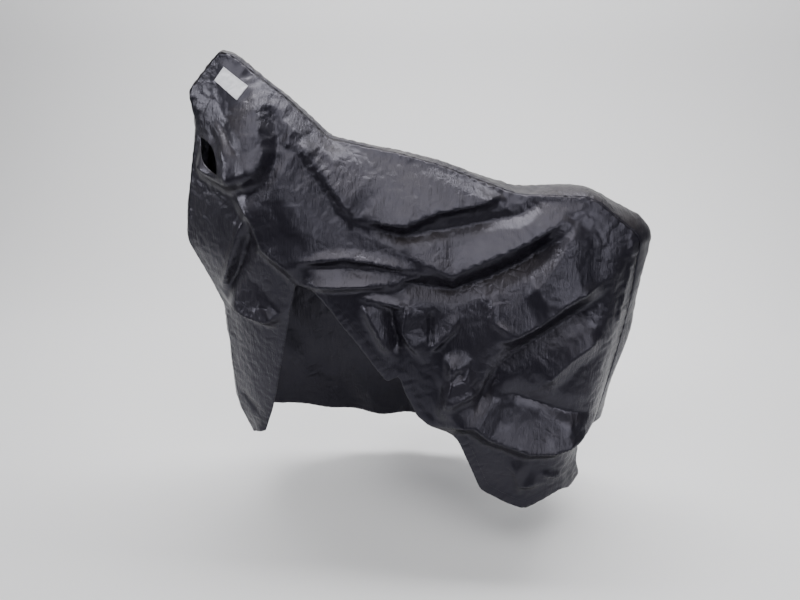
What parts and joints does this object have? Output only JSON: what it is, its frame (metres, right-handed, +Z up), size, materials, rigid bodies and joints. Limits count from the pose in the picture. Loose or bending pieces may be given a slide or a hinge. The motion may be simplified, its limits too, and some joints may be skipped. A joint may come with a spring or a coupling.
{
  "type": "exercise bike cover",
  "caption": "Fitted hollow dust cover of thin black coated cloth for an exercise bike, draped over head and seat and hitched up on one side, with a sewn blank label.",
  "frame": {"origin": "under the top strip at the middle of the seat, where the cover rests on what carries it", "axes": "+X from the front of the bike to its rear, +Y from the side seen in front to the far side, +Z up"},
  "size_m": [1.1373, 0.4701, 1.0829],
  "materials": {
    "coated_cloth": "thin coated cloth, black, softly shining, full of fine creases",
    "label_cloth": "white woven label, dull, blank"
  },
  "bodies": {
    "root": {"near_panel": "coated_cloth", "far_panel": "coated_cloth", "top_strip": "coated_cloth", "label": "label_cloth"}
  },
  "joints": []
}
